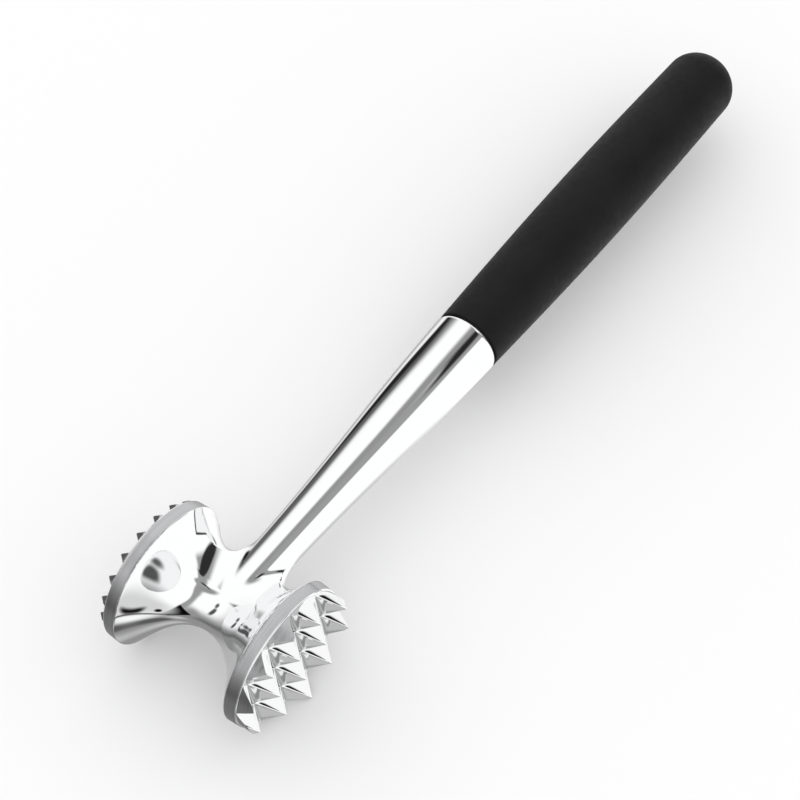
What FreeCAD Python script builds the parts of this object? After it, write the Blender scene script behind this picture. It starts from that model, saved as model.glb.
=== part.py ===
"""Meat mallet: a chromed double-faced head casting with a black rubber grip.

The mallet lies on its side. X runs along the handle from the head to the grip's end, Y is the
head's own axis (fine face at +Y, coarse face at -Y) and Z is up. The origin is on the surface
that the mallet lies on, under the middle of its outline. All lengths are in millimetres, and
the shapes are built round the head's centre and moved into this frame when they are written.
"""
import FreeCAD, Part
import math
import os

Vector = FreeCAD.Vector
CENTRE = Vector(0, 0, 0)
HANDLE_AXIS = Vector(1, 0, 0)
HEAD_AXIS = Vector(0, 1, 0)
SAME_PLACE = 0.01           # edges this near to a wanted place or radius are the wanted ones

# ---- head: two discs on a slim waist ----
DISC_R = 22.0               # at the lip, the widest place of each disc
LIP_Y = 18.9
FACE_R = 21.7
FACE_Y = 22.9
FACE_ROUND = 0.4
LIP_ROUND = 0.5
# distance from the middle, radius: from the waist up the flaring back of a disc to its lip
SPOOL_PROFILE = ((0.0, 6.1), (4.7, 6.85), (9.5, 9.9), (14.2, 15.25), (LIP_Y, DISC_R))

# ---- coarse face: staggered rows of tall teeth ----
COARSE_TIP_Y = 28.5
COARSE_PITCH = 14.0         # tooth to tooth along a row
COARSE_ROW_GAP = 9.75       # row to row
COARSE_STAGGER = 8.7        # shift of each row against the one before
COARSE_TURN = 8.3           # turn of the rows away from upright, in degrees
COARSE_REACH = 22.3         # teeth whose middle is nearer the head's axis than this are cast
COARSE_FOOT = 0.96          # share of its cell that a tooth's foot covers

# ---- fine face: rings of short teeth round a middle one ----
FINE_TIP_Y = 25.6
FINE_RINGS = 3
FINE_RING_GAP = 6.55
FINE_PER_RING = 6           # teeth in the first ring, and added by each further ring
FINE_START = 37.4           # angle of each ring's first tooth, in degrees
FINE_SIDE = 3.7             # side of a tooth's square foot
FINE_TURN = 20.0            # turn of every square foot, in degrees

TOOTH_EDGE_R = 21.3         # both sets of teeth are cut off square here
TIP_SHARE = 0.05            # size of a tooth's flat tip as a share of its foot
TOOTH_ROOT = 0.6            # depth to which a tooth's foot reaches into its disc

# ---- neck and tang, measured from the head's centre ----
NECK_END = 113.4
NECK_PROFILE = ((0.0, 5.8), (32.0, 6.35), (60.0, 7.7), (90.0, 9.6), (NECK_END, 10.5))
NECK_BLEND = 6.2            # fillet between the neck and the discs' backs
NECK_ROUND = 0.8
TANG_R = 5.0
TANG_END = 222.0
TANG_CHAMFER = 1.0

# ---- grip: rubber sleeve over a stiff core ----
COLLAR_GAP = 0.5            # the sleeve stops this far from the neck's shoulder
COLLAR_R = 9.7              # the core fills the gap up to this radius
GRIP_START = NECK_END + COLLAR_GAP
GRIP_DOME_X = 240.4
GRIP_PROFILE = ((GRIP_START, 10.45), (150.0, 11.5), (190.0, 11.95), (GRIP_DOME_X, 11.35))
GRIP_DOME = 9.8             # length of the domed end
GRIP_ROUND = 0.4
SKIN = 2.4                  # thickness of the rubber
CORE_RELIEF = 1.0           # space past the tang's end

# ---- lock pin: rolled spring pin through core and tang ----
PIN_X = 168.0
PIN_R = 1.5
PIN_WALL = 0.6
PIN_SLOT = 0.7
PIN_HALF = 9.0

# ---- the mallet's place in its own frame ----
GRIP_END = GRIP_DOME_X + GRIP_DOME
PLACE = Vector(-(GRIP_END - DISC_R) / 2, (COARSE_TIP_Y - FINE_TIP_Y) / 2, DISC_R)


def lines(points):
    """Straight edges through the points, one after the other."""
    return [Part.makeLine(a, b) for a, b in zip(points, points[1:])]


def curve(points):
    """One smooth edge through the points."""
    spline = Part.BSplineCurve()
    spline.interpolate(points)
    return spline.toShape()


def turned(edges, axis):
    """Solid turned about an axis through the head's centre, from a closed outline beside it."""
    return Part.Face(Part.Wire(edges)).revolve(CENTRE, axis, 360)


def rod(radius, start, end, axis):
    """Round rod along an axis through the head's centre."""
    return Part.makeCylinder(radius, end - start, axis * start, axis)


def rings_at(shape, axis, distance, radius):
    """Circular edges of a shape that lie round an axis at this distance and radius."""
    middle = axis * distance
    sound = [e for e in shape.Edges if not e.Degenerated]
    circles = [e for e in sound if e.Curve.TypeId == "Part::GeomCircle"]
    return [e for e in circles if (e.Curve.Center - middle).Length < SAME_PLACE
            and abs(e.Curve.Radius - radius) < SAME_PLACE]


def rounded(shape, axis, distance, radius, rounding):
    """The shape with its circular edge at this place rounded off."""
    return shape.makeFillet(rounding, rings_at(shape, axis, distance, radius))


def spool():
    """Both discs and the waist between them."""
    upper = [Vector(radius, y, 0) for y, radius in SPOOL_PROFILE]
    lower = [Vector(p.x, -p.y, 0) for p in reversed(upper[1:])]
    front = [Vector(DISC_R, LIP_Y, 0), Vector(FACE_R, FACE_Y, 0), Vector(0, FACE_Y, 0)]
    back = [Vector(p.x, -p.y, 0) for p in reversed(front)]
    return turned([curve(lower + upper)] + lines(front + back), HEAD_AXIS)


def neck():
    """Round neck, from inside the waist to the shoulder that the grip starts at."""
    flank = [Vector(x, radius, 0) for x, radius in NECK_PROFILE]
    rest = [flank[-1], Vector(NECK_END, 0, 0), CENTRE, flank[0]]
    return turned([curve(flank)] + lines(rest), HANDLE_AXIS)


def pin_hole():
    """Cutter for the lock pin's hole."""
    return Part.makeCylinder(PIN_R, 2 * PIN_HALF, Vector(PIN_X, -PIN_HALF, 0), HEAD_AXIS)


def tooth(foot, face_y, tip_y):
    """Four-sided pyramid with a small flat tip, rooted in the disc behind the face."""
    side = math.copysign(1, tip_y)
    middle = sum(foot, Vector()) / len(foot)
    outlines = []
    for y, share in ((face_y - side * TOOTH_ROOT, 1), (face_y, 1), (tip_y, TIP_SHARE)):
        ring = [middle + (corner - middle) * share + Vector(0, y, 0) for corner in foot]
        outlines.append(Part.makePolygon(ring + ring[:1]))
    return Part.makeLoft(outlines, True, True)


def cut_square(teeth, face_y, tip_y):
    """The teeth as one body, cut off square near the edge of the face."""
    side = math.copysign(1, tip_y)
    low, high = sorted((face_y - side * 2 * TOOTH_ROOT, tip_y + side * TOOTH_ROOT))
    return Part.makeCompound(teeth).common(rod(TOOTH_EDGE_R, low, high, HEAD_AXIS))


def coarse_teeth():
    """Tall teeth on slanting feet: straight grooves cross the face both ways."""
    turn = math.radians(COARSE_TURN)
    along = Vector(math.sin(turn), 0, -math.cos(turn))
    across = Vector(-math.cos(turn), 0, -math.sin(turn))
    step = along * COARSE_PITCH
    row = across * COARSE_ROW_GAP - along * COARSE_STAGGER
    corners = ((-0.5, -0.5), (0.5, -0.5), (0.5, 0.5), (-0.5, 0.5))
    teeth = []
    for k in range(-2, 3):
        for j in (-1.5, -0.5, 0.5, 1.5):
            middle = step * j + row * k
            if middle.Length < COARSE_REACH:
                foot = [middle + (step * a + row * b) * COARSE_FOOT for a, b in corners]
                teeth.append(tooth(foot, -FACE_Y, -COARSE_TIP_Y))
    return cut_square(teeth, -FACE_Y, -COARSE_TIP_Y)


def fine_teeth():
    """Short teeth on square feet, all turned the same way, in rings round a middle one."""
    turn = math.radians(FINE_TURN)
    one = Vector(math.cos(turn), 0, math.sin(turn)) * FINE_SIDE / 2
    two = Vector(-one.z, 0, one.x)
    square = (-one - two, one - two, one + two, two - one)
    middles = [CENTRE]
    for ring in range(1, FINE_RINGS + 1):
        count = ring * FINE_PER_RING
        for i in range(count):
            angle = math.radians(FINE_START) + 2 * math.pi * i / count
            middles.append(Vector(math.cos(angle), 0, math.sin(angle)) * ring * FINE_RING_GAP)
    teeth = [tooth([middle + p for p in square], FACE_Y, FINE_TIP_Y) for middle in middles]
    return cut_square(teeth, FACE_Y, FINE_TIP_Y)


def tang():
    """Plain rod behind the neck that carries the grip."""
    bar = rod(TANG_R, NECK_END - TANG_R, TANG_END, HANDLE_AXIS)
    bar = bar.makeChamfer(TANG_CHAMFER, rings_at(bar, HANDLE_AXIS, TANG_END, TANG_R))
    return bar.cut(pin_hole())


def head_casting():
    """Discs, teeth, neck and tang: one piece of metal."""
    body = spool().fuse(neck())
    seam = [e for e in body.Edges if 0 < e.BoundBox.XMin and e.BoundBox.XMax < DISC_R / 2]
    body = body.makeFillet(NECK_BLEND, seam)
    body = rounded(body, HANDLE_AXIS, NECK_END, NECK_PROFILE[-1][1], NECK_ROUND)
    for side in (1, -1):
        body = rounded(body, HEAD_AXIS, side * LIP_Y, DISC_R, LIP_ROUND)
        body = rounded(body, HEAD_AXIS, side * FACE_Y, FACE_R, FACE_ROUND)
    return body.fuse([coarse_teeth(), fine_teeth(), tang()]).removeSplitter()


def barrel(inset):
    """Grip's solid up to its domed end, smaller by the inset all round."""
    flank = [Vector(x, radius - inset, 0) for x, radius in GRIP_PROFILE]
    end_r = flank[-1].y
    end_x = GRIP_END - inset
    quarter = math.sqrt(0.5)
    bulge = Vector(GRIP_DOME_X + (end_x - GRIP_DOME_X) * quarter, end_r * quarter, 0)
    dome = Part.BSplineCurve()
    dome.interpolate([flank[-1], bulge, Vector(end_x, 0, 0)],
                     InitialTangent=HANDLE_AXIS, FinalTangent=Vector(0, -1, 0))
    rest = [Vector(end_x, 0, 0), Vector(GRIP_START, 0, 0), flank[0]]
    return turned([curve(flank), dome.toShape()] + lines(rest), HANDLE_AXIS)


def grip_core():
    """Stiff core on the tang, with a collar that fills the gap at the shoulder."""
    body = barrel(SKIN).fuse(rod(COLLAR_R, NECK_END, GRIP_START, HANDLE_AXIS))
    bore = rod(TANG_R, NECK_END, TANG_END + CORE_RELIEF, HANDLE_AXIS)
    return body.cut(bore).cut(pin_hole())


def grip_sleeve():
    """Soft rubber sleeve with a domed end, closed over the core."""
    body = rounded(barrel(0), HANDLE_AXIS, GRIP_START, GRIP_PROFILE[0][1], GRIP_ROUND)
    return body.cut(barrel(SKIN))


def lock_pin():
    """Rolled steel pin with a slot down one side."""
    tube = Part.makeCylinder(PIN_R, 2 * PIN_HALF, Vector(0, -PIN_HALF, 0), HEAD_AXIS)
    tube = tube.cut(rod(PIN_R - PIN_WALL, -PIN_HALF, PIN_HALF, HEAD_AXIS))
    slot = Part.makeBox(2 * PIN_R, 2 * PIN_HALF, PIN_SLOT, Vector(0, -PIN_HALF, -PIN_SLOT / 2))
    pin = tube.cut(slot)
    pin.translate(HANDLE_AXIS * PIN_X)
    return pin


NODES = {
    "head_casting": head_casting,
    "grip_core": grip_core,
    "grip_sleeve": grip_sleeve,
    "lock_pin": lock_pin,
}

os.makedirs("parts", exist_ok=True)
for name, make in NODES.items():
    shape = make()
    shape.translate(PLACE)
    shape.exportStep(f"parts/{name}.step")
    box = shape.optimalBoundingBox()
    print(name, len(shape.Solids), "solid", shape.isValid(), "volume", round(shape.Volume, 1),
          "x", round(box.XMin, 2), round(box.XMax, 2), "y", round(box.YMin, 2), round(box.YMax, 2),
          "z", round(box.ZMin, 2), round(box.ZMax, 2))
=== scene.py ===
"""Meat mallet on a pale floor: chromed double-faced head and a black rubber grip.

Lengths are in millimetres until a mesh is made, which turns them into metres. Shapes are built
round the head's centre, X along the handle and Y along the head's own axis, and moved into the
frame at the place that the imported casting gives.
"""
import math

import bmesh
import bpy
import numpy as np
from mathutils import Matrix, Vector


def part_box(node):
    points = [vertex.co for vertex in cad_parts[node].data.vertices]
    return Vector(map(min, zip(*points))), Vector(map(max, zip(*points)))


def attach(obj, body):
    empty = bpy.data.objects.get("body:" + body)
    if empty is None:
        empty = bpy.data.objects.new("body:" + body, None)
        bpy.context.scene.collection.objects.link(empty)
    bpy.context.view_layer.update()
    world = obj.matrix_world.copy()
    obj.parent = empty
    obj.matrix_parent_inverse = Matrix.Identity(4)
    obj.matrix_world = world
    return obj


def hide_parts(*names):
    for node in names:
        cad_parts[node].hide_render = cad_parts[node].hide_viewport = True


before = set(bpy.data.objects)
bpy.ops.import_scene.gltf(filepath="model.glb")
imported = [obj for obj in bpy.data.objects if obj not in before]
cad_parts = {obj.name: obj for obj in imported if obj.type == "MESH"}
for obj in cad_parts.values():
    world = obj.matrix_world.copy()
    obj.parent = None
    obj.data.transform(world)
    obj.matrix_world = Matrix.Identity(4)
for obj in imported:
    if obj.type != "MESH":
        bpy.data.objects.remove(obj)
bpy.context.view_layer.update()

MM = 0.001

# ---- head, from its own centre ----
DISC_R = 21.96
FACE_R = 21.7
LIP_Y = 18.9
FACE_Y = 22.9
LIP_ROUND = 0.45
FACE_ROUND = 0.4
WAIST_R = 6.1
FLARE = (0.842, 0.528, -0.370)    # weights of the 2nd, 4th and 6th power in a disc's back
NECK_END = 113.4
NECK_POINTS = ((0.0, 5.8), (32.0, 6.35), (60.0, 7.7), (90.0, 9.6), (NECK_END, 10.5))
NECK_ROUND = 0.8
NECK_ROOT = 3.0                   # where the neck's round inner end lies
BLEND_R = 9.0                     # fillet between the neck and the discs' backs
BLEND_MOST = 17.0                 # widest that the fillet gets between facing walls
BLEND_MOVED = 0.02                # points that the fillet moves further than this are evened out
BLEND_ROUNDS = 25                 # times that they are evened out
FIELD_ROUNDS = 8                  # steps that put the points on the filleted surface,
LAST_ROUNDS = 3                   # and once more after the evening out
LIP_KEEP = 1.2                    # points nearer to the lip than this keep their place
SHOULDER_KEEP = 1.3               # points nearer to the neck's shoulder than this do too
FLANK_STOP = 1.2                  # how far before the shoulder the neck's spline stops
SEAM_WELD = 0.10                  # points of the seam nearer than this become one
TOOTH_WELD = 0.0004               # the same where teeth and tang are cut
STRAY_FACES = 20                  # loose bits with fewer faces than this are dropped
SHARP = 35                        # an edge is sharp from this many degrees
DISC_STEPS = 288                  # faces round the discs and the teeth's outer edge
NECK_STEPS = 192
RIM_LEAN = 0.12                   # most that a rim's normal may lean along Y
RIM_INSIDE = 0.1                  # how far inside a face's radius its rim begins

# ---- teeth ----
COARSE_TIP_Y = 28.5
COARSE_PITCH = 14.0
COARSE_ROW_GAP = 9.75
COARSE_STAGGER = 8.7
COARSE_TURN = 8.3
COARSE_REACH = 22.3               # teeth with their middle nearer than this are made
COARSE_FILL = 0.985               # part of the pitch that a foot takes
COARSE_RIDGE = 0.35
COARSE_VALLEY = 0.9
COARSE_PINCH = 0.30
COARSE_GRID = 21
FINE_TIP_Y = 25.6
FINE_RINGS = 3
FINE_RING_GAP = 6.55
FINE_PER_RING = 6
FINE_START = 37.4
FINE_SIDE = 3.7
FINE_TURN = 20.0
FINE_RIDGE = 0.25
FINE_VALLEY = 0.4
FINE_PINCH = 0.0
FINE_GRID = 9
TOOTH_EDGE_R = 21.3               # both sets are cut off here
TOOTH_RIM_INSIDE = 0.05
TOOTH_ROOT = 0.6                  # how deep the teeth reach into the disc
TOOTH_FOOT = 0.95                 # part of the half side at which a flank meets the face
TOOTH_SINK = 0.06                 # how deep a foot runs out under the face
TOOTH_SHARP = 32
PINCH_WIDTH = 0.22                # part of the way from a ridge to the middle of a flank

# ---- grip ----
TANG_R = 5.0
TANG_END = 222.0
TANG_INSIDE = 2.0                 # how far it reaches into the neck
TANG_CHAMFER = 1.0
TANG_STEPS = 96
PIN_X = 168.0
PIN_R = 1.5
HOLE_HALF = 8.0
HOLE_STEPS = 48
GRIP_START = 113.9
GRIP_POINTS = ((GRIP_START, 10.45), (150.0, 11.5), (190.0, 11.95), (240.4, 11.35))
GRIP_DOME = 9.8
GRIP_ROUND = 0.5
GRIP_STEPS = 192
SKIN = 2.4

head_low, head_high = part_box("head_casting")
PLACE = np.array([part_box("grip_sleeve")[1][0] / MM - GRIP_POINTS[-1][0] - GRIP_DOME,
                  head_low[1] / MM + COARSE_TIP_Y,
                  (head_low[2] + head_high[2]) / 2 / MM])


# ---------------------------------------------------------------- meshes

def make_object(name, points, faces, smooth_angle=None):
    """New piece from points about the head's centre, moved to where the mallet lies."""
    mesh = bpy.data.meshes.new(name)
    mesh.from_pydata(((np.asarray(points) + PLACE) * MM).tolist(), [], faces)
    mesh.validate()
    mesh.polygons.foreach_set("use_smooth", [True] * len(mesh.polygons))
    if smooth_angle is not None:
        mesh.set_sharp_from_angle(angle=math.radians(smooth_angle))
    piece = bpy.data.objects.new(name, mesh)
    bpy.context.scene.collection.objects.link(piece)
    return piece


def lathe(profile, axis, steps):
    """Points and faces of a closed surface turned about X or Y from (along, radius) pairs.

    The profile starts and ends on the axis."""
    along = np.array([p[0] for p in profile[1:-1]])
    radius = np.array([p[1] for p in profile[1:-1]])
    turn = np.arange(steps) * 2 * math.pi / steps
    across, up = np.outer(radius, np.cos(turn)), np.outer(radius, np.sin(turn))
    length = np.repeat(along[:, None], steps, axis=1)
    if axis == "X":
        grid = np.stack([length, across, up], axis=-1)
        ends = [[profile[0][0], 0, 0], [profile[-1][0], 0, 0]]
    else:
        grid = np.stack([up, length, across], axis=-1)
        ends = [[0, profile[0][0], 0], [0, profile[-1][0], 0]]
    points = np.concatenate([grid.reshape(-1, 3), ends])
    first, last = len(points) - 2, len(points) - 1
    rows = len(along)
    faces = []
    for i in range(steps):
        j = (i + 1) % steps
        faces.append((first, j, i))
        faces.append((last, (rows - 1) * steps + i, (rows - 1) * steps + j))
        for k in range(rows - 1):
            here, there = k * steps, (k + 1) * steps
            faces.append((here + i, here + j, there + j, there + i))
    return points, faces


def corner_arc(before, corner, after, radius, steps=6):
    """Points of a round corner between two straight stretches of a profile."""
    before, corner, after = (np.array(p, float) for p in (before, corner, after))
    one = (before - corner) / np.linalg.norm(before - corner)
    two = (after - corner) / np.linalg.norm(after - corner)
    half = math.acos(np.clip(one @ two, -1, 1)) / 2
    middle = corner + (one + two) / np.linalg.norm(one + two) * radius / math.sin(half)
    start = corner + one * radius / math.tan(half) - middle
    end = corner + two * radius / math.tan(half) - middle
    swing = math.atan2(start[0] * end[1] - start[1] * end[0], start @ end)
    arc = []
    for i in range(steps + 1):
        c, s = math.cos(swing * i / steps), math.sin(swing * i / steps)
        arc.append(tuple(middle + [start[0] * c - start[1] * s, start[0] * s + start[1] * c]))
    return arc


def natural_spline(points, xs):
    """Values and slopes at xs of the natural cubic spline through the points."""
    x, y = np.array(points, float).T
    h = np.diff(x)
    n = len(x)
    matrix = np.eye(n)
    right = np.zeros(n)
    for i in range(1, n - 1):
        matrix[i, i - 1:i + 2] = h[i - 1], 2 * (h[i - 1] + h[i]), h[i]
        right[i] = 6 * ((y[i + 1] - y[i]) / h[i] - (y[i] - y[i - 1]) / h[i - 1])
    bend = np.linalg.solve(matrix, right)
    k = np.clip(np.searchsorted(x, xs) - 1, 0, n - 2)
    a, b = x[k + 1] - xs, xs - x[k]
    value = (bend[k] * a ** 3 + bend[k + 1] * b ** 3) / (6 * h[k])
    value += ((y[k] / h[k] - bend[k] * h[k] / 6) * a
              + (y[k + 1] / h[k] - bend[k + 1] * h[k] / 6) * b)
    slope = (bend[k + 1] * b ** 2 - bend[k] * a ** 2) / (2 * h[k])
    slope += (y[k + 1] - y[k]) / h[k] - (bend[k + 1] - bend[k]) * h[k] / 6
    return value, slope


# ---------------------------------------------------------------- head and neck

def flare(y):
    """Radius and slope of a disc's back, at y from the head's centre."""
    u = y / LIP_Y
    rise = DISC_R - WAIST_R
    radius = WAIST_R + rise * sum(w * u ** p for w, p in zip(FLARE, (2, 4, 6)))
    slope = rise / LIP_Y * sum(w * p * u ** (p - 1) for w, p in zip(FLARE, (2, 4, 6)))
    return radius, slope


def distance_to(p, along, across, rule):
    """Near-distance from points to a turned surface, and its gradient."""
    centre = np.hypot(p[:, across[0]], p[:, across[1]])
    radius, slope = rule(p[:, along])
    scale = 1 / np.sqrt(1 + slope ** 2)
    gradient = np.zeros_like(p)
    safe = np.maximum(centre, 1e-9)
    gradient[:, across[0]] = p[:, across[0]] / safe * scale
    gradient[:, across[1]] = p[:, across[1]] / safe * scale
    gradient[:, along] = -slope * scale
    return (centre - radius) * scale, gradient


def neck_distance(p):
    """Near-distance to the neck, which begins as a round end inside the waist."""
    far, far_way = distance_to(p, 0, (1, 2), lambda x: natural_spline(NECK_POINTS, x))
    root = p - [NECK_ROOT, 0, 0]
    length = np.maximum(np.linalg.norm(root, axis=1), 1e-9)
    root_r = natural_spline(NECK_POINTS, np.array([NECK_ROOT]))[0]
    near = p[:, 0] < NECK_ROOT
    distance = np.where(near, length - root_r, far)
    return distance, np.where(near[:, None], root / length[:, None], far_way)


def head_field(p):
    """Zero on the filleted surface of waist, discs' backs and neck; negative inside."""
    spool, spool_way = distance_to(p, 1, (0, 2), flare)
    neck, neck_way = neck_distance(p)
    facing = np.clip((spool_way * neck_way).sum(axis=1), -1, 1)
    reach = np.minimum(4 * BLEND_R * (1 - np.sqrt((1 + facing) / 2)), BLEND_MOST) + 1e-6
    overlap = np.maximum(reach - np.abs(spool - neck), 0)
    return np.minimum(spool, neck) - overlap ** 2 / (4 * reach)


def head_gradient(p):
    """Slope of head_field by small steps each way."""
    step = 1e-3
    way = np.zeros_like(p)
    for i in range(3):
        move = np.zeros(3)
        move[i] = step
        way[:, i] = (head_field(p + move) - head_field(p - move)) / (2 * step)
    return way


def on_field(p, rounds):
    """Points moved onto the zero of head_field."""
    for _ in range(rounds):
        way = head_gradient(p)
        p = p - way * (head_field(p) / (way ** 2).sum(axis=1))[:, None]
    return p


def spool_profile():
    """(along, radius) of the spool from one face to the other."""
    ys = np.linspace(0, LIP_Y, 90)
    back = [(y, flare(y)[0]) for y in ys]
    lip = corner_arc(back[-8], (LIP_Y, DISC_R), (FACE_Y, FACE_R), LIP_ROUND)
    edge = corner_arc((LIP_Y, DISC_R), (FACE_Y, FACE_R), (FACE_Y, 0), FACE_ROUND)
    back = [p for p in back if p[0] < lip[0][0] - 0.05]
    band = [tuple(np.array(lip[-1]) * (1 - t) + np.array(edge[0]) * t)
            for t in np.linspace(0, 1, 8)[1:-1]]
    face = [(FACE_Y, FACE_R * t) for t in (0.9, 0.75, 0.5, 0.25, 0)]
    half = back + lip + band + edge + face
    return [(-y, r) for y, r in reversed(half[1:])] + half


def neck_profile():
    """(along, radius) of the neck from inside the waist to its shoulder."""
    xs = np.linspace(0, NECK_END - FLANK_STOP, 150)
    flank = list(zip(xs, natural_spline(NECK_POINTS, xs)[0]))
    end_r = NECK_POINTS[-1][1]
    corner = corner_arc(flank[-1], (NECK_END, end_r), (NECK_END, 0), NECK_ROUND, 8)
    return [(0, 0)] + flank + corner + [(NECK_END, TANG_R), (NECK_END, 0)]


def clean(mesh, weld):
    """Welds points nearer than weld, and drops the slivers and loose bits that a boolean leaves."""
    work = bmesh.new()
    work.from_mesh(mesh)
    bmesh.ops.remove_doubles(work, verts=work.verts, dist=weld * MM)
    bmesh.ops.dissolve_degenerate(work, edges=work.edges, dist=weld * MM)
    left = set(work.faces)
    while left:
        island = {left.pop()}
        queue = list(island)
        while queue:
            for edge in queue.pop().edges:
                for face in edge.link_faces:
                    if face in left:
                        left.remove(face)
                        island.add(face)
                        queue.append(face)
        if len(island) < STRAY_FACES:
            bmesh.ops.delete(work, geom=list(island), context="FACES")
    work.to_mesh(mesh)
    work.free()


def joined(one, other, operation, weld):
    """one changed by a boolean with other, which is removed."""
    change = one.modifiers.new("join", "BOOLEAN")
    change.operation = operation
    change.object = other
    change.solver = "EXACT"
    graph = bpy.context.evaluated_depsgraph_get()
    mesh = bpy.data.meshes.new_from_object(one.evaluated_get(graph))
    clean(mesh, weld)
    one.modifiers.clear()
    old = one.data
    one.data = mesh
    mesh.name = one.name
    bpy.data.meshes.remove(old)
    bpy.data.objects.remove(other)


def head_body():
    """Discs, waist and neck in one filleted skin with true normals."""
    body = make_object("head_body", *lathe(spool_profile(), "Y", DISC_STEPS))
    neck = make_object("neck", *lathe(neck_profile(), "X", NECK_STEPS))
    joined(body, neck, "UNION", SEAM_WELD)
    mesh = body.data
    points = np.empty(len(mesh.vertices) * 3)
    mesh.vertices.foreach_get("co", points)
    points = points.reshape(-1, 3) / MM - PLACE
    smooth = np.abs(points[:, 1]) < LIP_Y - LIP_KEEP
    smooth &= points[:, 0] < NECK_END - SHOULDER_KEEP
    flat = points.copy()
    points[smooth] = on_field(points[smooth], FIELD_ROUNDS)
    ends = np.empty(len(mesh.edges) * 2, dtype=np.int64)
    mesh.edges.foreach_get("vertices", ends)
    one, two = ends[::2], ends[1::2]
    count = np.bincount(ends, minlength=len(points))
    moved = smooth & (np.linalg.norm(points - flat, axis=1) > BLEND_MOVED)
    for _ in range(BLEND_ROUNDS):
        total = np.stack([np.bincount(one, points[two, i], len(points))
                          + np.bincount(two, points[one, i], len(points))
                          for i in range(3)], axis=1)
        points[moved] = on_field(total[moved] / count[moved, None], 1)
    points[smooth] = on_field(points[smooth], LAST_ROUNDS)
    p = points[smooth]
    mesh.vertices.foreach_set("co", ((points + PLACE) * MM).ravel())
    mesh.polygons.foreach_set("use_smooth", [True] * len(mesh.polygons))
    mesh.set_sharp_from_angle(angle=math.radians(SHARP))
    mesh.update()
    way = head_gradient(p)
    true = np.zeros_like(points)
    true[smooth] = way / np.linalg.norm(way, axis=1)[:, None]
    normals = np.empty(len(mesh.loops) * 3)
    mesh.corner_normals.foreach_get("vector", normals)
    normals = normals.reshape(-1, 3)
    corners = np.empty(len(mesh.loops), dtype=np.int64)
    mesh.loops.foreach_get("vertex_index", corners)
    known = smooth[corners]
    normals[known] = true[corners[known]]
    mesh.normals_split_custom_set(normals.tolist())
    return body


def satin_rims(mesh, radius):
    """Gives the bands that are turned round the discs the mesh's second material."""
    for face in mesh.polygons:
        x, y, z = np.array(face.center) / MM - PLACE
        turned = abs(face.normal.y) < RIM_LEAN and math.hypot(x, z) > radius and abs(y) > LIP_Y
        face.material_index = int(turned)


# ---------------------------------------------------------------- teeth

def smooth_min(a, b, k):
    """The smaller of a and b, rounded where they differ by less than k."""
    overlap = np.maximum(k - np.abs(a - b), 0)
    return np.minimum(a, b) - overlap ** 2 / (4 * k)


def tooth_grid(count):
    """Fractions from 0 to 1, closer together towards both ends."""
    t = np.linspace(0, 1, count)
    return (1 - np.cos(math.pi * t)) / 2


def add_tooth(points, faces, middle, side_a, side_b, face_y, tip_y, ridge, valley, pinch, count):
    """Pyramid with rounded ridges and a foot that runs out into the face.

    side_a and side_b are the foot's two sides. The grid's lines lie along the ridges. These are
    pinched up towards the foot, so that the flanks are slightly hollow beside them."""
    way = math.copysign(1, tip_y)
    height = abs(tip_y - face_y)
    s_steps = tooth_grid(count)
    t_steps = tooth_grid(count)
    corners = [(-0.5, -0.5), (0.5, -0.5), (0.5, 0.5), (-0.5, 0.5)]
    rings = []
    for t in t_steps[:-1]:
        ring = []
        for i in range(4):
            (a0, b0), (a1, b1) = corners[i], corners[(i + 1) % 4]
            for s in s_steps[:-1]:
                ring.append(((a0 + (a1 - a0) * s) * (1 - t), (b0 + (b1 - b0) * s) * (1 - t)))
        rings.append(ring)
    flat = np.array([p for ring in rings for p in ring] + [(0, 0)])
    a, b = np.abs(flat[:, 0]), np.abs(flat[:, 1])
    fall = 2 / TOOTH_FOOT * (height + ridge / 4)
    rise = smooth_min(height + ridge / 2 - fall * a, height + ridge / 2 - fall * b, ridge)
    big = np.maximum(np.maximum(a, b), 1e-6)
    off_ridge = 1 - np.minimum(a, b) / big
    rise += 2 * pinch * big * np.exp(-(off_ridge / PINCH_WIDTH) ** 2)
    rise = smooth_min(rise, np.full_like(rise, height), ridge)
    rise = -smooth_min(-rise, np.zeros_like(rise), valley) - TOOTH_SINK
    place = middle + flat[:, :1] * side_a + flat[:, 1:] * side_b
    place[:, 1] = face_y + way * rise
    base = len(points)
    points.extend(place.tolist())
    around = 4 * (count - 1)
    for r in range(len(rings) - 1):
        for i in range(around):
            j = (i + 1) % around
            faces.append((base + r * around + i, base + r * around + j,
                          base + (r + 1) * around + j, base + (r + 1) * around + i))
    tip = base + len(flat) - 1
    last = base + (len(rings) - 1) * around
    for i in range(around):
        faces.append((last + i, last + (i + 1) % around, tip))
    root = len(points)
    sunk = place[:around].copy()
    sunk[:, 1] = face_y - way * TOOTH_ROOT
    points.extend(sunk.tolist())
    for i in range(around):
        j = (i + 1) % around
        faces.append((base + j, base + i, root + i, root + j))
    faces.append(tuple(root + i for i in reversed(range(around))))


def cut_round(piece, low, high):
    """Cuts a set of teeth off square at the edge of their face."""
    profile = [(low, 0), (low, TOOTH_EDGE_R), (high, TOOTH_EDGE_R), (high, 0)]
    keep = make_object("keep", *lathe(profile, "Y", DISC_STEPS))
    joined(piece, keep, "INTERSECT", TOOTH_WELD)
    piece.data.polygons.foreach_set("use_smooth", [True] * len(piece.data.polygons))
    piece.data.set_sharp_from_angle(angle=math.radians(TOOTH_SHARP))


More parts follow.
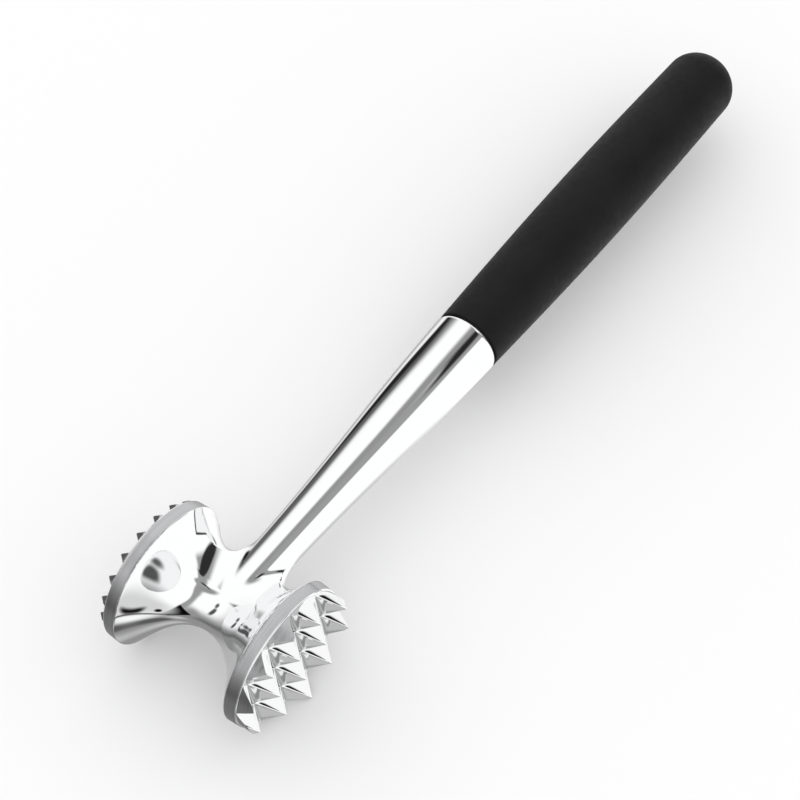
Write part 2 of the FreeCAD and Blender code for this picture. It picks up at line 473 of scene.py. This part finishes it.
def coarse_teeth():
    """Tall pyramids in leaning rows on the -Y face, cut off at the disc's edge."""
    turn = math.radians(COARSE_TURN)
    along = np.array([math.sin(turn), 0, -math.cos(turn)])
    across = np.array([-math.cos(turn), 0, -math.sin(turn)])
    step = along * COARSE_PITCH
    row = across * COARSE_ROW_GAP - along * COARSE_STAGGER
    points, faces = [], []
    for k in range(-2, 3):
        for j in (-1.5, -0.5, 0.5, 1.5):
            middle = step * j + row * k
            if np.linalg.norm(middle) < COARSE_REACH:
                add_tooth(points, faces, middle, step * COARSE_FILL, row * COARSE_FILL,
                          -FACE_Y, -COARSE_TIP_Y,
                          COARSE_RIDGE, COARSE_VALLEY, COARSE_PINCH, COARSE_GRID)
    piece = make_object("coarse_teeth", points, faces)
    cut_round(piece, -COARSE_TIP_Y - 1, -FACE_Y + TOOTH_ROOT / 2)
    return piece


def fine_teeth():
    """Low pyramids on the +Y face: one in the middle and rings round it."""
    turn = math.radians(FINE_TURN)
    one = np.array([math.cos(turn), 0, math.sin(turn)]) * FINE_SIDE
    two = np.array([-one[2], 0, one[0]])
    middles = [np.zeros(3)]
    for ring in range(1, FINE_RINGS + 1):
        count = ring * FINE_PER_RING
        for i in range(count):
            angle = math.radians(FINE_START) + 2 * math.pi * i / count
            middles.append(np.array([math.cos(angle), 0, math.sin(angle)]) * ring * FINE_RING_GAP)
    points, faces = [], []
    for middle in middles:
        add_tooth(points, faces, middle, one, two, FACE_Y, FINE_TIP_Y,
                  FINE_RIDGE, FINE_VALLEY, FINE_PINCH, FINE_GRID)
    piece = make_object("fine_teeth", points, faces)
    cut_round(piece, FACE_Y - TOOTH_ROOT / 2, FINE_TIP_Y + 1)
    return piece


# ---------------------------------------------------------------- tang and grip

def tang():
    """Rod inside the grip, with the lock pin's hole."""
    start = NECK_END - TANG_INSIDE
    profile = [(start, 0), (start, TANG_R), (TANG_END - TANG_CHAMFER, TANG_R),
               (TANG_END, TANG_R - TANG_CHAMFER), (TANG_END, 0)]
    piece = make_object("tang", *lathe(profile, "X", TANG_STEPS))
    hole = [(-HOLE_HALF, 0), (-HOLE_HALF, PIN_R), (HOLE_HALF, PIN_R), (HOLE_HALF, 0)]
    points, faces = lathe(hole, "Y", HOLE_STEPS)
    cutter = make_object("cutter", points + [PIN_X, 0, 0], faces)
    joined(piece, cutter, "DIFFERENCE", TOOTH_WELD)
    piece.data.polygons.foreach_set("use_smooth", [True] * len(piece.data.polygons))
    piece.data.set_sharp_from_angle(angle=math.radians(SHARP))
    return piece


def grip_wall(inset, count):
    """(along, radius) of the grip from its open end to the dome's tip, smaller by the inset."""
    xs = np.linspace(GRIP_POINTS[0][0], GRIP_POINTS[-1][0], count)
    flank = [(x, r - inset) for x, r in zip(xs, natural_spline(GRIP_POINTS, xs)[0])]
    end_x, end_r = flank[-1]
    dome = [(end_x + (GRIP_DOME - inset) * math.sin(a), end_r * math.cos(a))
            for a in np.linspace(0, math.pi / 2, 40)[1:]]
    return flank + dome


def grip_sleeve():
    """Rubber skin, closed over the core."""
    outer = grip_wall(0, 120)
    inner = grip_wall(SKIN, 40)
    corner = corner_arc(inner[0], (GRIP_START, outer[0][1]), outer[1], GRIP_ROUND)
    outline = list(reversed(inner)) + corner + [p for p in outer if p[0] > GRIP_START + GRIP_ROUND]
    outline[0] = (outline[0][0], 0)
    outline[-1] = (outline[-1][0], 0)
    return make_object("grip_skin", *lathe(outline, "X", GRIP_STEPS), SHARP)


# ---------------------------------------------------------------- materials

class Surface:
    """A new material and short ways to add the nodes that its detail is made of."""

    def __init__(self, name, **settings):
        self.material = bpy.data.materials.new(name)
        self.material.use_nodes = True
        self.tree = self.material.node_tree
        self.shader = self.tree.nodes["Principled BSDF"]
        for socket, value in settings.items():
            self.shader.inputs[socket.replace("_", " ")].default_value = value

    def node(self, kind, **inputs):
        made = self.tree.nodes.new(kind)
        for socket, value in inputs.items():
            socket = made.inputs[socket.replace("_", " ")]
            if isinstance(value, bpy.types.NodeSocket):
                self.tree.links.new(value, socket)
            else:
                socket.default_value = value
        return made

    def place(self, stretch=(1, 1, 1)):
        """Coordinates on the piece in metres, times a stretch along each axis."""
        here = self.node("ShaderNodeTexCoord").outputs["Object"]
        return self.node("ShaderNodeMapping", Vector=here, Scale=stretch).outputs[0]

    def noise(self, scale, detail=3, stretch=(1, 1, 1)):
        made = self.node("ShaderNodeTexNoise", Vector=self.place(stretch), Scale=scale,
                         Detail=detail)
        return made.outputs["Fac"]

    def between(self, value, low, high, start=0.3, end=0.7):
        """The value from start to end, spread between low and high."""
        made = self.node("ShaderNodeMapRange", Value=value, From_Min=start, From_Max=end,
                         To_Min=low, To_Max=high)
        return made.outputs[0]

    def tint(self, value, dark, light):
        made = self.tree.nodes.new("ShaderNodeMix")
        made.data_type = "RGBA"
        self.tree.links.new(value, made.inputs["Factor"])
        made.inputs["A"].default_value = (*dark, 1)
        made.inputs["B"].default_value = (*light, 1)
        self.tree.links.new(made.outputs["Result"], self.shader.inputs["Base Color"])

    def rough(self, value):
        self.tree.links.new(value, self.shader.inputs["Roughness"])

    def bump(self, *layers):
        """Bumps one on the other, each a (height, strength, depth in metres)."""
        below = None
        for height, strength, depth in layers:
            made = self.node("ShaderNodeBump", Height=height, Strength=strength, Distance=depth)
            if below is not None:
                self.tree.links.new(below, made.inputs["Normal"])
            below = made.outputs["Normal"]
        self.tree.links.new(below, self.shader.inputs["Normal"])

    def edges(self):
        """0 in hollows, 0.5 on smooth places, 1 on sharp edges."""
        return self.node("ShaderNodeNewGeometry").outputs["Pointiness"]


def chrome_mirror():
    """Polished plate: faint cloudiness, hairline scratches, base colour darkened in hollows as
    painted shade and a little lighter on sharp edges.
    """
    made = Surface("chrome_mirror", Metallic=1.0, Specular_Tint=(1, 1, 1, 1))
    # painted shade: base colour darker in hollows by pointiness, a little lighter on sharp edges
    made.tint(made.between(made.edges(), 0, 1, 0.47, 0.56),
              (0.885, 0.888, 0.893), (0.93, 0.932, 0.935))
    scratches = made.noise(900, 2, (1, 0.08, 0.6))
    made.rough(made.between(made.noise(160, 4), 0.018, 0.042))
    made.bump((made.noise(110, 2), 0.02, 0.0003), (scratches, 0.010, 0.00004))
    return made.material


def chrome_satin():
    """Rims of the discs: turned, then plated over fine lines that run round the rim."""
    made = Surface("chrome_satin", Metallic=1.0)
    lines = made.noise(60, 4, (0.35, 60, 0.35))
    made.tint(made.between(lines, 0, 1), (0.43, 0.432, 0.44), (0.52, 0.522, 0.53))
    made.rough(made.between(made.noise(240, 3, (1, 3, 1)), 0.18, 0.28))
    made.bump((lines, 0.05, 0.00006), (made.noise(2600, 2), 0.05, 0.00003))
    return made.material


def chrome_teeth():
    """Cast teeth: plated like the rest, a little softer and less even, with base colour darkened in
    hollows as painted shade and a little lighter on sharp edges.
    """
    made = Surface("chrome_teeth", Metallic=1.0)
    # painted shade: base colour darker in the hollows round the teeth by pointiness, a little
    # lighter on their edges
    made.tint(made.between(made.edges(), 0, 1, 0.44, 0.58),
              (0.80, 0.803, 0.81), (0.94, 0.942, 0.945))
    made.rough(made.between(made.noise(420, 4), 0.025, 0.055))
    made.bump((made.noise(260, 3), 0.05, 0.00022), (made.noise(1500, 2), 0.015, 0.00004))
    return made.material


def black_rubber():
    """Soft-touch skin: fine pebbled grain, slight cloudiness, a dull sheen at grazing angles."""
    made = Surface("black_rubber", Specular_IOR_Level=0.15, Sheen_Weight=0.008, Sheen_Roughness=0.5,
                   Sheen_Tint=(1, 1, 1, 1))
    made.tint(made.between(made.noise(70, 4), 0, 1),
              (0.0046, 0.0046, 0.0050), (0.0078, 0.0078, 0.0082))
    made.rough(made.between(made.noise(500, 3), 0.50, 0.62))
    grain = made.node("ShaderNodeTexVoronoi", Vector=made.place(), Scale=3600.0).outputs["Distance"]
    made.bump((made.noise(90, 2), 0.04, 0.0006), (grain, 0.10, 0.00006))
    return made.material


def black_plastic():
    """Moulded core: fine spark-eroded grain."""
    made = Surface("black_plastic", Specular_IOR_Level=0.4)
    made.tint(made.between(made.noise(120, 3), 0, 1), (0.016, 0.016, 0.017), (0.028, 0.028, 0.029))
    made.rough(made.between(made.noise(900, 2), 0.48, 0.62))
    made.bump((made.noise(2400, 3), 0.18, 0.00005))
    return made.material


def pin_steel():
    """Rolled spring steel: lines along the pin."""
    made = Surface("pin_steel", Metallic=1.0)
    lines = made.noise(1500, 3, (1, 0.04, 1))
    made.tint(made.between(lines, 0, 1), (0.47, 0.47, 0.48), (0.60, 0.60, 0.61))
    made.rough(made.between(made.noise(700, 2), 0.28, 0.42))
    made.bump((lines, 0.15, 0.00004))
    return made.material


# ---------------------------------------------------------------- build

body = head_body()
coarse = coarse_teeth()
fine = fine_teeth()
rod = tang()
skin = grip_sleeve()

mirror, satin, cast = chrome_mirror(), chrome_satin(), chrome_teeth()
for piece, finish in ((body, mirror), (coarse, cast), (fine, cast), (rod, mirror)):
    piece.data.materials.clear()
    piece.data.materials.append(finish)
    piece.data.materials.append(satin)
    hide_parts("head_casting")
    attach(piece, "root")
satin_rims(body.data, FACE_R - RIM_INSIDE)
satin_rims(coarse.data, TOOTH_EDGE_R - TOOTH_RIM_INSIDE)
satin_rims(fine.data, TOOTH_EDGE_R - TOOTH_RIM_INSIDE)
skin.data.materials.append(black_rubber())
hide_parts("grip_sleeve")
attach(skin, "root")
for node, finish in (("grip_core", black_plastic()), ("lock_pin", pin_steel())):
    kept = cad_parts[node]
    for place in range(len(kept.material_slots)):
        kept.material_slots[place].material = finish

# ---------------------------------------------------------------- floor, light, camera

FLOOR_SIDE = 6                    # metres
bpy.ops.mesh.primitive_plane_add(size=FLOOR_SIDE, location=(0, 0, 0))
floor = bpy.context.object
floor.name = "floor"
pale = Surface("pale_floor", Specular_IOR_Level=0.1)
pale.tint(pale.noise(3, 3), (0.885, 0.885, 0.885), (0.90, 0.90, 0.90))
pale.rough(pale.between(pale.noise(40, 3), 0.85, 0.95))
floor.data.materials.append(pale.material)

# What the chrome sees isn't a plain studio but a white tent with gaps. Each is an oval (corners 2)
# or a box (corners 6) on the sky: azimuth, elevation, roll, half width, half height and soft edge
# in degrees, corners, grey. A later one covers the earlier ones. All but the one for the look from
# behind were placed and toned until the chrome agreed with the photo. A "fitted mark"
# stands for nothing in a room: it only puts one mark of the photo's reflections in its place.
DOME = 1.12                       # strength of the even dome that lights everything but gloss
UNDER_ONE = 0.9999                # keeps an arcsine inside its range
WHITE = 1.1
GAPS = (
    # shaded table under the left side
    (-112, -60, 0, 58, 52, 5, 4, 0.30),
    # dim horizon on the left, darkest in a band that sinks away from the camera
    (-112, -8, -8, 62, 26, 24, 4, 0.30),
    (-128, -15, -18, 50, 9, 9, 3, 0.16),
    # grey frame round the left window, and shade beside it
    (3, 0, 0, 64, 65, 5, 2.6, 0.35),
    (-75, -8, 0, 14, 22, 10, 2, 0.32),
    # fitted mark
    (-50, -20, 0, 27, 22, 1.5, 1.15, 0.004),
    # both windows and the white sweep under them
    (35, -30, 0, 62, 34, 5, 4, WHITE),
    (104, -22, 0, 40, 46, 3, 3, WHITE),
    (-2, 0, 0, 46.5, 47.5, 2, 2.8, WHITE),
    # lower edge of the left window
    (-22, -26, 0, 24, 13, 8, 3, 0.72),
    # six fitted marks
    (-27, -34, 4, 1.4, 5, 1, 2, 0.01),
    (-38, -39, 0, 14, 1.3, 1, 2, 0.06),
    (-37, -31, 0, 2.6, 3.6, 1, 2, 0.004),
    (-41, -55, 0, 10, 6, 3, 2.5, 0.11),
    (-64, -47, 0, 9, 5, 5, 2, 0.60),
    (-52, -76, 0, 12, 8, 6, 2, 0.55),
    # gap between the windows
    (54.5, 17, 22, 6.2, 17, 1, 2.6, 0.028),
    # two fitted marks, the first for the coarse teeth
    (74, -13, -20, 10.5, 9, 3, 2, 0.008),
    (28, 45, 0, 7, 8, 2, 2.5, 0.36),
    # dim strip above the windows
    (50, 64, 0, 22, 8, 4, 2, 0.32),
    # fitted mark
    (46, 53, 40, 9, 2.3, 1.1, 5, 0.022),
    # shaded table behind the mallet, for the look from behind
    (152, -46, 0, 34, 22, 12, 3, 0.48),
    # far edge of the right window
    (156, 14, 18, 5.5, 19, 4, 1.7, 0.13),
    (155, 0, 10, 4.5, 16, 2, 1.6, 0.018),
    # three fitted marks: two for the reflection of one disc in the other, one for the fine teeth
    (-122, 46, -55, 22, 5, 2, 2.5, 0.10),
    (-178, 68, 0, 13, 4, 2, 2, 0.12),
    (180, -1, 0, 12, 10, 4, 2.5, 0.10),
    # near edge of the table
    (87, -70, 0, 65, 6, 3, 3, 0.6),
)


def studio():
    """World: an even white dome for the floor and the rubber, the tent with gaps for gloss."""
    world = bpy.context.scene.world or bpy.data.worlds.new("World")
    bpy.context.scene.world = world
    world.use_nodes = True
    tree = world.node_tree
    tree.nodes.clear()

    def math_node(operation, *values, clamp=False):
        node = tree.nodes.new("ShaderNodeMath")
        node.operation = operation
        node.use_clamp = clamp
        for socket, value in zip(node.inputs, values):
            if isinstance(value, (int, float)):
                socket.default_value = value
            else:
                tree.links.new(value, socket)
        return node.outputs[0]

    way = tree.nodes.new("ShaderNodeTexCoord").outputs["Generated"]

    def along(axis):
        node = tree.nodes.new("ShaderNodeVectorMath")
        node.operation = "DOT_PRODUCT"
        tree.links.new(way, node.inputs[0])
        node.inputs[1].default_value = axis
        return node.outputs["Value"]

    grey = WHITE
    for azimuth, elevation, roll, half_w, half_h, soft, corners, shade in GAPS:
        a, e = math.radians(azimuth), math.radians(elevation)
        front = Vector((math.sin(a) * math.cos(e), -math.cos(a) * math.cos(e), math.sin(e)))
        level = Vector((math.cos(a), math.sin(a), 0))
        right = Matrix.Rotation(math.radians(roll), 3, front) @ level
        up = right.cross(front) * -1
        x = math_node("ARCTAN2", along(right), along(front))
        y = math_node("ARCSINE", math_node("MULTIPLY", along(up), UNDER_ONE))
        x = math_node("ABSOLUTE", math_node("DIVIDE", x, math.radians(half_w)))
        y = math_node("ABSOLUTE", math_node("DIVIDE", y, math.radians(half_h)))
        x, y = math_node("POWER", x, corners), math_node("POWER", y, corners)
        reach = math_node("POWER", math_node("ADD", x, y), 1 / corners)
        step = tree.nodes.new("ShaderNodeMapRange")
        step.interpolation_type = "SMOOTHSTEP"
        edge = soft / min(half_w, half_h)
        step.inputs["From Min"].default_value = 1 + edge
        step.inputs["From Max"].default_value = max(1 - edge, 0)
        tree.links.new(reach, step.inputs["Value"])
        mix = tree.nodes.new("ShaderNodeMix")
        tree.links.new(step.outputs[0], mix.inputs["Factor"])
        if isinstance(grey, float):
            mix.inputs["A"].default_value = grey
        else:
            tree.links.new(grey, mix.inputs["A"])
        mix.inputs["B"].default_value = shade
        grey = mix.outputs["Result"]

    tent = tree.nodes.new("ShaderNodeBackground")
    tree.links.new(grey, tent.inputs["Color"])
    dome = tree.nodes.new("ShaderNodeBackground")
    dome.inputs["Color"].default_value = (1, 1, 1, 1)
    dome.inputs["Strength"].default_value = DOME
    choose = tree.nodes.new("ShaderNodeMixShader")
    ray = tree.nodes.new("ShaderNodeLightPath")
    tree.links.new(ray.outputs["Is Glossy Ray"], choose.inputs["Fac"])
    tree.links.new(dome.outputs[0], choose.inputs[1])
    tree.links.new(tent.outputs[0], choose.inputs[2])
    out = tree.nodes.new("ShaderNodeOutputWorld")
    tree.links.new(choose.outputs[0], out.inputs["Surface"])


studio()
floor.visible_glossy = False      # the tent stands in for it in reflections
bpy.context.scene.view_settings.view_transform = "Standard"

CAMERA_LENS = 99.0
CAMERA_AZIMUTH = -54.7
CAMERA_ELEVATION = 55.6
CAMERA_ROLL = 1.7
CAMERA_RIGHT = 2.198              # from the head's centre, in view units
CAMERA_UP = 2.612
CAMERA_BACK = 26.955
VIEW_UNIT = 22.0                  # about a disc's radius
SENSOR_WIDTH = 36


def add_camera():
    """Camera at the photo's angle."""
    azimuth, elevation = math.radians(CAMERA_AZIMUTH), math.radians(CAMERA_ELEVATION)
    back = Vector((math.sin(azimuth) * math.cos(elevation),
                   -math.cos(azimuth) * math.cos(elevation), math.sin(elevation)))
    level = Vector((math.cos(azimuth), math.sin(azimuth), 0))
    roll = Matrix.Rotation(math.radians(CAMERA_ROLL), 3, back)
    right = roll @ level
    up = back.cross(right)
    centre = Vector(PLACE * MM)
    offset = right * CAMERA_RIGHT + up * CAMERA_UP + back * CAMERA_BACK
    place = centre + offset * VIEW_UNIT * MM
    data = bpy.data.cameras.new("camera")
    data.lens = CAMERA_LENS
    data.sensor_width = SENSOR_WIDTH
    camera = bpy.data.objects.new("camera", data)
    bpy.context.scene.collection.objects.link(camera)
    camera.matrix_world = Matrix((
        (right.x, up.x, back.x, place.x),
        (right.y, up.y, back.y, place.y),
        (right.z, up.z, back.z, place.z),
        (0, 0, 0, 1)))
    bpy.context.scene.camera = camera


add_camera()
